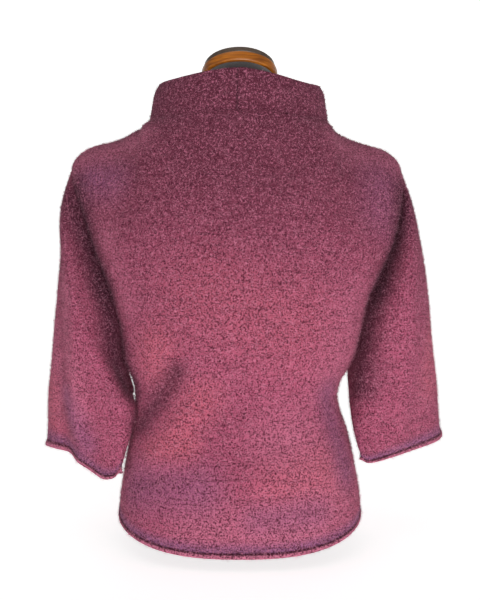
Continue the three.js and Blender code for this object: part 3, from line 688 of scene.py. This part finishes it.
def new_cloth(name, bm):
    """A cut piece of the wool, with a closed wall of its thickness behind the face."""
    piece = new_piece(name, bm, wool)
    wall = piece.modifiers.new("wall", "SOLIDIFY")
    wall.thickness = CLOTH_THICKNESS * MM
    wall.offset = -1
    return piece


back_cloth = new_cloth("back_cloth", panel_grid(BACK))
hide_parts("back_panel")


# Front panel
# The front is cut like the back with a lower neck, and is sewn to it at the shoulders and sides.
# It hangs a little shorter at the middle of the hem, and has its own soft folds.

FRONT_FOLDS = [
    Fold(96, 222, 134, 168, 14, -5),
    Fold(82, 184, 120, 134, 18, 4),
    Fold(-118, 206, -136, 148, 15, -4),
    Fold(-70, 112, 30, 104, 24, 4),
    Fold(-62, 520, -22, 470, 16, -3),
    Fold(66, 516, 28, 462, 16, -3),
]
FRONT = Panel(
    away=1, depth="front", neck_depth=78, neck_rise=-14, hem_drop=24, armhole_depth=34, folds=FRONT_FOLDS)

front_cloth = new_cloth("front_cloth", panel_grid(FRONT))
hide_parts("front_panel")


# Sleeves
# Each sleeve is one piece, closed by a seam under the arm and sewn into the deep armhole. They
# are wide and end at three-quarter length in a rolled raw cuff. They hang flattened at the sides.

# A ring of the sleeve, at a share of its length: its outer and inner points, and how far it
# bulges to the back and the front
Ring = namedtuple("Ring", "at out_x out_y out_z in_x in_y in_z back front")

# A fold of the sleeve: a run by turn in degrees and share of length, its half width, and how far
# it stands out
Crease = namedtuple("Crease", "from_turn from_at to_turn to_at wide out")

# How far the cuff's edge hangs below the last ring, by turn in degrees
Cuff = namedtuple("Cuff", "turn drop")

Sleeve = namedtuple("Sleeve", "side rings creases cuff")
LEFT_SLEEVE = Sleeve(-1, [
    Ring(0, 234, 0, 518, 157, 0, 242, 55, 50),
    Ring(0.17, 246, 5, 462, 155, -6, 230, 76, 60),
    Ring(0.33, 243, 12, 400, 152, -16, 212, 80, 60),
    Ring(0.5, 246.5, 20, 335, 140.5, -55, 190, 66, 54),
    Ring(0.67, 255, 28, 266, 142.5, -60, 164, 50, 44),
    Ring(0.83, 268, 35, 197, 150, -62, 131, 34, 34),
    Ring(1, 280, 40, 120, 158, -62, 93, 14, 26),
], [
    Crease(102, 0.34, 76, 0.98, 15, 6),
    Crease(130, 0.42, 104, 0.98, 17, -7),
    Crease(60, 0.2, 55, 0.7, 20, -4),
    Crease(250, 0.3, 240, 0.9, 18, 5),
    Crease(300, 0.2, 305, 0.6, 16, -4),
], [
    Cuff(0, -16), Cuff(15, -7), Cuff(32, 1), Cuff(50, 5), Cuff(75, -3), Cuff(100, -8), Cuff(125, -5),
    Cuff(155, 0), Cuff(180, 2), Cuff(230, -4), Cuff(300, -2), Cuff(345, -9), Cuff(360, -16),
])
RIGHT_SLEEVE = Sleeve(1, [
    Ring(0, 222, 0, 515, 150, 0, 242, 55, 50),
    Ring(0.17, 236, 5, 462, 149, -6, 228, 74, 60),
    Ring(0.33, 247, 14, 400, 149, -16, 210, 78, 58),
    Ring(0.5, 257, 24, 335, 149, -28, 189, 66, 50),
    Ring(0.67, 265, 34, 266, 151, -40, 165, 48, 40),
    Ring(0.83, 279, 43, 199, 154.5, -50, 142, 30, 30),
    Ring(1, 293, 50, 130, 159.5, -56, 114, 14, 22),
], [
    Crease(118, 0.25, 70, 0.9, 22, 5),
    Crease(60, 0.15, 50, 0.6, 20, -4),
    Crease(245, 0.3, 255, 0.85, 20, 5),
    Crease(295, 0.2, 300, 0.65, 16, -4),
], [
    Cuff(0, -7), Cuff(30, 1), Cuff(90, 1), Cuff(150, 1),
    Cuff(180, -5), Cuff(230, -2), Cuff(300, 2), Cuff(360, -7),
])

# The folds are laid out on a tube of this length and radius
SLEEVE_LENGTH = 330
SLEEVE_MEAN_RADIUS = 80
SLEEVE_STEPS = 82

# Shares of the length: where the fit to the armhole has faded, where the cuff's drop grows, and
# where the cloth starts to ease towards the roll
ARMHOLE_FADE = 0.35
CUFF_FADE = (0.62, 1)
CUFF_ROLL_FROM = 0.85

# Where the waviness grows, by distance from the cuff, and how much more a sleeve bulges by its
# outer side than by its inner one
CUFF_WAVES = (8, 40)
SLEEVE_SKEW = 0.35


def sleeve_point(sleeve, creases, turn, at):
    """A point on a sleeve's face. turn runs from 0 under the arm over the back to a whole turn,
    and at from 0 at the armhole to 1 at the cuff."""
    read = {column: along(sleeve.rings, "at", at, column) for column in Ring._fields[1:]}
    outer = Vector((sleeve.side * read["out_x"], read["out_y"], read["out_z"]))
    inner = Vector((sleeve.side * read["in_x"], read["in_y"], read["in_z"]))
    across = (outer - inner) / 2
    unit = across.normalized()
    backward = Vector((0, -1, 0))
    backward = (backward - unit * backward.dot(unit)).normalized()
    swing = math.sin(turn)
    bulge = (read["back"] if swing > 0 else read["front"]) * (1 - SLEEVE_SKEW * math.cos(turn))
    push = fold_out(creases, turn * SLEEVE_MEAN_RADIUS, at * SLEEVE_LENGTH)
    return (outer + inner) / 2 - across * math.cos(turn) + backward * (bulge + push * abs(swing)) * swing


def armhole_point(sleeve, turn):
    """The point of the panels' armhole that a turn of the sleeve is sewn to."""
    panel = BACK if turn <= math.pi else FRONT
    return panel_point(panel, sleeve.side, turn=turn if turn <= math.pi else math.tau - turn)


def sleeve_grid(sleeve):
    """The face of a sleeve, from the armhole to the rolled cuff, closed under the arm."""
    columns = 2 * ARMHOLE_STEPS
    rows = SLEEVE_STEPS + len(ROLL_HEIGHTS) - 1
    band = ROLL_HEIGHTS[-1] / SLEEVE_LENGTH
    creases = [
        Fold(
            math.radians(crease.from_turn) * SLEEVE_MEAN_RADIUS,
            crease.from_at * SLEEVE_LENGTH,
            math.radians(crease.to_turn) * SLEEVE_MEAN_RADIUS,
            crease.to_at * SLEEVE_LENGTH,
            crease.wide,
            crease.out,
        )
        for crease in sleeve.creases
    ]

    def place(column, row):
        turn = math.pi * (column % columns) / ARMHOLE_STEPS
        if sleeve.side > 0:
            turn = (math.tau - turn) % math.tau
        if row <= SLEEVE_STEPS:
            at = (1 - band) * row / SLEEVE_STEPS
            up = ROLL_HEIGHTS[-1] + (1 - band - at) * SLEEVE_LENGTH
            stand = ROLL[-1].out * rise(row / SLEEVE_STEPS, CUFF_ROLL_FROM, 1)
        else:
            up = ROLL_HEIGHTS[rows - row]
            at = 1 - up / SLEEVE_LENGTH
            stand = along(ROLL, "up", up, "out")
        fit = armhole_point(sleeve, turn) - sleeve_point(sleeve, creases, turn, 0)
        fade = max(0, 1 - at / ARMHOLE_FADE) ** 2
        point = sleeve_point(sleeve, creases, turn, at) + fit * fade
        point.z -= along(sleeve.cuff, "turn", math.degrees(turn), "drop") * rise(at, *CUFF_FADE)
        return point, stand + unevenness(point) * rise(up, *CUFF_WAVES), up

    bm = cloth_grid(columns, rows, place)
    bmesh.ops.remove_doubles(bm, verts=bm.verts, dist=SAME_POINT)
    from_edge = bm.verts.layers.float["from_edge"]
    part_seams(bm, lambda corner: corner[from_edge] > ROLL_HEIGHTS[-1])
    bmesh.ops.scale(bm, verts=bm.verts, vec=(MM, MM, MM))
    return bm


left_sleeve_cloth = new_cloth("left_sleeve_cloth", sleeve_grid(LEFT_SLEEVE))
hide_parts("left_sleeve")
right_sleeve_cloth = new_cloth("right_sleeve_cloth", sleeve_grid(RIGHT_SLEEVE))
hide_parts("right_sleeve")


# Funnel collar
# The collar is one strip of the same cloth, joined at the centre back and sewn to the neck edge.
# It stands off the form's neck, leans in towards its top, and dips a little at the sides.

# Half widths and half depths of the collar, from the neck seam (at 0) to its top (at 1)
Stand = namedtuple("Stand", "at left right back front")
COLLAR = [
    Stand(0, 135, 126, 80, 78),
    Stand(0.06, 130, 123, 79, 77),
    Stand(0.25, 126, 121, 77, 75),
    Stand(0.55, 123, 119, 75, 73),
    Stand(0.8, 120, 117, 73.5, 71),
    Stand(1, 114, 111.5, 72, 70),
]

# Height of the collar's top on each side, by degrees from the centre back
Rim = namedtuple("Rim", "turn left right")
COLLAR_TOP = [
    Rim(0, 631.5, 631.5),
    Rim(48, 626.5, 621.5),
    Rim(90, 629, 628),
    Rim(180, 622, 622),
]
COLLAR_HEIGHT = 60
COLLAR_ROWS = 26
COLLAR_SEAM_COLUMN = 1
FAR_FROM_EDGE = 100

# Power by which the top narrows to a lens at the sides
COLLAR_TOP_LENS = 0.25

# How the cloth is drawn in beside a seam. At the neck seam it fades towards the sides, by the
# cosine of the turn.
SEAM_TUCK = {"deep": 1.3, "wide": 2.6}
TUCK_SPAN = (0.3, 0.8)


def collar_point(turn, at):
    """A point on the collar's face, turn running from the centre back by the wearer's right."""
    behind = math.cos(turn) >= 0
    panel = BACK if behind else FRONT
    from_back = math.degrees(math.pi - abs(math.pi - turn))
    side = "right" if turn <= math.pi else "left"
    seam_z = panel_top(panel, NECK_HALF_WIDTH[side] * math.sin(turn), 1)[0]
    z = lerp(seam_z, along(COLLAR_TOP, "turn", from_back, side), at)
    lens = abs(math.cos(turn)) ** (COLLAR_TOP_LENS * at)
    depth = along(COLLAR, "at", at, "back" if behind else "front") * math.cos(turn) * lens
    width = along(COLLAR, "at", at, side)
    return Vector((width * math.sin(turn), -depth, z))


def tuck(distance):
    """How far the cloth is drawn in beside a seam."""
    return -SEAM_TUCK["deep"] * math.exp(-(distance / SEAM_TUCK["wide"]) ** 2)


def collar_grid():
    """The collar's face, round from its seam at the centre back, with no raw edge."""
    columns = 2 * NECK_STEPS

    def place(column, row):
        turn = math.tau * ((column - COLLAR_SEAM_COLUMN) % columns) / columns
        at = row / COLLAR_ROWS
        point = collar_point(turn, at)
        start = collar_point(math.tau * (1 - COLLAR_SEAM_COLUMN / columns), at)
        behind = rise(abs(math.cos(turn)), *TUCK_SPAN)
        drawn = tuck((point - start).length) + tuck(COLLAR_HEIGHT * at) * behind
        return point, drawn + unevenness(point), FAR_FROM_EDGE

    bm = cloth_grid(columns, COLLAR_ROWS, place)
    part_seams(bm, lambda corner: True)
    bmesh.ops.scale(bm, verts=bm.verts, vec=(MM, MM, MM))
    return bm


collar_cloth = new_cloth("collar_cloth", collar_grid())
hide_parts("collar")


# Nap
# Brushing raises fine fibres all over the face of the cloth. Most lie along it in curls, and some
# stand off it and make the soft halo. Each is a thin curved blade, rooted in its own panel.

# Fibres on each square metre
NAP_DENSITY = 200000
COLLAR_NAP_DENSITY = 120000

# A fibre's tint is a random share. Towards the end of one span it turns dark, and of the other light.
DARK_TINTS = (0.4, 0.1)
LIGHT_TINTS = (0.5, 0.9)
RAISED_LIGHT_FIBRE = dye(218, 146, 170)
RAISED_LIGHT_SHOWS = 0.65

# Sizes of the blades in millimetres, each of which is scaled as it is planted
FIBRE_WIDTH = 0.42
FIBRE_SCALES = (0.6, 1.3)
FIBRES = [
    {"length": 5, "lift": 0.8, "drop": 0.3, "bend": 1.8},
    {"length": 4, "lift": 1.2, "drop": 0.8, "bend": -1.5},
    {"length": 6, "lift": 0.7, "drop": 0.2, "bend": -2.3},
    {"length": 3.4, "lift": 1.5, "drop": 1.9, "bend": 1.0},
]

# How a fibre is turned where it is planted, in degrees: round its root, off the cloth, and over
Turn = namedtuple("Turn", "axis low high")
TURNS = [Turn((0, 0, 1), 0, 360), Turn((0, 1, 0), -32, 4), Turn((1, 0, 0), -40, 40)]

# The raised fibres, each of one tint between the dark and the light ones
raised, tree, shader, place = new_material(
    "raised fibres", Roughness=0.9, Sheen_Weight=0.1, Specular_IOR_Level=0.2)
tint = add(tree, "ShaderNodeAttribute", attribute_name="tint").outputs["Fac"]
# The ground under each fibre carries the cloth's painted light and shade.
tone = mix(tree, soft_mask(tree, tint, *DARK_TINTS), ground_and_painted_light(tree, place), DARK_FIBRE)
lightened = mix(tree, RAISED_LIGHT_SHOWS, tone, RAISED_LIGHT_FIBRE)
feed(tree, shader, {"Base Color": mix(tree, soft_mask(tree, tint, *LIGHT_TINTS), tone, lightened)})


def fibre_blade(name, length, lift, drop, bend):
    """A blade with its root at the origin, along X, two spans long and pointed at its tip."""
    bm = bmesh.new()
    bmesh.ops.create_grid(bm, x_segments=2, y_segments=1, size=1)
    for corner in bm.verts:
        share = (corner.co.x + 1) / 2
        height = 4 * lift * share * (1 - share) + drop * share * share
        side = corner.co.y * FIBRE_WIDTH / 2 * (1 - share)
        corner.co = (length * share, bend * share * share + side, height)
    bmesh.ops.remove_doubles(bm, verts=bm.verts, dist=SAME_POINT)
    bmesh.ops.scale(bm, verts=bm.verts, vec=(MM, MM, MM))
    mesh = bpy.data.meshes.new(name)
    bm.to_mesh(mesh)
    bm.free()
    return bpy.data.objects.new(name, mesh)


blades = bpy.data.collections.new("fibre blades")
for i, sizes in enumerate(FIBRES):
    blades.objects.link(fibre_blade(f"blade_{i}", **sizes))

raise_nap = bpy.data.node_groups.new("raise nap", "GeometryNodeTree")
for label, in_out, kind in (
    ("Cloth", "INPUT", "NodeSocketGeometry"),
    ("Density", "INPUT", "NodeSocketFloat"),
    ("Seed", "INPUT", "NodeSocketInt"),
    ("Nap", "OUTPUT", "NodeSocketGeometry"),
):
    raise_nap.interface.new_socket(name=label, in_out=in_out, socket_type=kind)
given = raise_nap.nodes.new("NodeGroupInput").outputs
result = raise_nap.nodes.new("NodeGroupOutput")


def chance(low, high, seed):
    """A random value for each fibre."""
    node = add(raise_nap, "FunctionNodeRandomValue", {
        "Min": low, "Max": high, "Seed": seed}, data_type="FLOAT")
    return next(socket for socket in node.outputs if socket.enabled)


roots = add(raise_nap, "GeometryNodeDistributePointsOnFaces", {
    "Mesh": given["Cloth"], "Density": given["Density"], "Seed": given["Seed"]})
tinted = add(raise_nap, "GeometryNodeStoreNamedAttribute", {
    "Geometry": roots.outputs["Points"], "Name": "tint"}, data_type="FLOAT", domain="POINT")
tint_input = next(socket for socket in tinted.inputs if socket.name == "Value" and socket.enabled)
raise_nap.links.new(chance(0, 1, 1), tint_input)

way = roots.outputs["Rotation"]
for seed, turn in enumerate(TURNS, 2):
    angle = chance(math.radians(turn.low), math.radians(turn.high), seed)
    twist = add(raise_nap, "FunctionNodeAxisAngleToRotation", {"Axis": turn.axis, "Angle": angle})
    way = add(raise_nap, "FunctionNodeRotateRotation", {
        "Rotation": way, "Rotate By": twist.outputs[0]}, rotation_space="LOCAL").outputs[0]

blade_set = add(raise_nap, "GeometryNodeCollectionInfo", {
    "Collection": blades, "Separate Children": True, "Reset Children": True})
planted = add(raise_nap, "GeometryNodeInstanceOnPoints", {
    "Points": tinted.outputs[0],
    "Instance": blade_set.outputs[0],
    "Pick Instance": True,
    "Rotation": way,
    "Scale": chance(*FIBRE_SCALES, 5),
})
real = add(raise_nap, "GeometryNodeRealizeInstances", {"Geometry": planted.outputs[0]})
feed(raise_nap, result, {"Nap": real.outputs[0]})


def brush(cloth, name, density, seed):
    """Raises the nap of one cut piece, as a piece of its own."""
    nap = bpy.data.objects.new(name, cloth.data.copy())
    bpy.context.scene.collection.objects.link(nap)
    brushing = nap.modifiers.new("brushing", "NODES")
    brushing.node_group = raise_nap
    settings = {"Density": density, "Seed": seed}
    for item in raise_nap.interface.items_tree:
        if item.name in settings:
            brushing[item.identifier] = settings[item.name]
    bpy.context.view_layer.update()
    fibres = bpy.data.meshes.new_from_object(nap.evaluated_get(bpy.context.evaluated_depsgraph_get()))
    nap.modifiers.clear()
    nap.data = fibres
    nap.data.materials.clear()
    nap.data.materials.append(raised)
    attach(nap, "root")
    return nap


back_nap = brush(back_cloth, "back_nap", NAP_DENSITY, 11)
front_nap = brush(front_cloth, "front_nap", NAP_DENSITY, 12)
left_sleeve_nap = brush(left_sleeve_cloth, "left_sleeve_nap", NAP_DENSITY, 13)
right_sleeve_nap = brush(right_sleeve_cloth, "right_sleeve_nap", NAP_DENSITY, 14)
collar_nap = brush(collar_cloth, "collar_nap", COLLAR_NAP_DENSITY, 15)


# Studio
# A pale floor that curves up into a backdrop, a wide soft light low behind the camera, a weaker
# one overhead, and a camera level with the chest and square to the garment's back.

# The camera's place in metres, and its lens and frame in pixels of the photo
CAMERA_AWAY = 0.95
CAMERA_HEIGHT = 0.33
PHOTO_WIDTH = 480
PHOTO_HEIGHT = 600
FOCAL_PIXELS = 679
AXIS_OFFSET_PIXELS = 0.5
SENSOR_HEIGHT = 36

camera = bpy.data.objects.new("camera", bpy.data.cameras.new("camera"))
camera.location = (0, -CAMERA_AWAY, CAMERA_HEIGHT)
camera.rotation_euler = (math.pi / 2, 0, 0)
camera.data.sensor_fit = "VERTICAL"
camera.data.sensor_height = SENSOR_HEIGHT
camera.data.sensor_width = SENSOR_HEIGHT * PHOTO_WIDTH / PHOTO_HEIGHT
camera.data.lens = SENSOR_HEIGHT * FOCAL_PIXELS / PHOTO_HEIGHT
camera.data.shift_x = -AXIS_OFFSET_PIXELS / PHOTO_HEIGHT
bpy.context.scene.collection.objects.link(camera)
bpy.context.scene.camera = camera

FLOOR_REACH = 6
FLOOR_WIDTH = 12
COVE_RADIUS = 1.5
COVE_STEPS = 12
WALL_HEIGHT = 5

paper, tree, shader, place = new_material(
    "white paper",
    Base_Color=dye(244, 243, 242),
    Roughness=0.9,
    Emission_Color=(1, 1, 1, 1),
    Emission_Strength=0.7,
)
tooth = add(tree, "ShaderNodeTexNoise", {"Vector": place, "Scale": 60, "Detail": 2}).outputs["Fac"]
fine = add(tree, "ShaderNodeBump", {"Height": tooth, "Strength": 0.05, "Distance": 1 * MM})
feed(tree, shader, {"Normal": fine.outputs["Normal"]})

bm = bmesh.new()
cove_start = FLOOR_REACH - COVE_RADIUS
profile = [Vector((0, -FLOOR_REACH, 0)), Vector((0, cove_start, 0))]
for i in range(1, COVE_STEPS + 1):
    angle = math.pi / 2 * i / COVE_STEPS
    forward = cove_start + COVE_RADIUS * math.sin(angle)
    profile.append(Vector((0, forward, COVE_RADIUS * (1 - math.cos(angle)))))
profile.append(Vector((0, FLOOR_REACH, WALL_HEIGHT)))
corners = [bm.verts.new(point - Vector((FLOOR_WIDTH / 2, 0, 0))) for point in profile]
edges = [bm.edges.new(pair) for pair in zip(corners, corners[1:])]
swept = bmesh.ops.extrude_edge_only(bm, edges=edges)["geom"]
far_side = [item for item in swept if isinstance(item, bmesh.types.BMVert)]
bmesh.ops.translate(bm, verts=far_side, vec=(FLOOR_WIDTH, 0, 0))
bmesh.ops.recalc_face_normals(bm, faces=bm.faces)
backdrop = new_object("backdrop", bm, paper)

# The lamps, in metres and watts, all turned towards one point
Lamp = namedtuple("Lamp", "name x y z wide tall watts")
LAMPS = [
    Lamp("low_softbox", 0.4, -2.0, 0.25, 1.6, 0.6, 28),
    Lamp("top_softbox", -0.4, -0.3, 2.4, 1.6, 1.6, 4),
]
GARMENT_MIDDLE = Vector((0, 0, 0.32))
for lamp in LAMPS:
    light = bpy.data.lights.new(lamp.name, "AREA")
    light.shape = "RECTANGLE"
    light.size = lamp.wide
    light.size_y = lamp.tall
    light.energy = lamp.watts
    holder = bpy.data.objects.new(lamp.name, light)
    holder.location = (lamp.x, lamp.y, lamp.z)
    holder.rotation_euler = (GARMENT_MIDDLE - holder.location).to_track_quat("-Z", "Y").to_euler()
    bpy.context.scene.collection.objects.link(holder)

world = bpy.data.worlds.new("studio")
world.use_nodes = True
feed(world.node_tree, world.node_tree.nodes["Background"], {"Color": (1, 1, 1, 1), "Strength": 0.18})
bpy.context.scene.world = world
bpy.context.scene.view_settings.view_transform = "Standard"
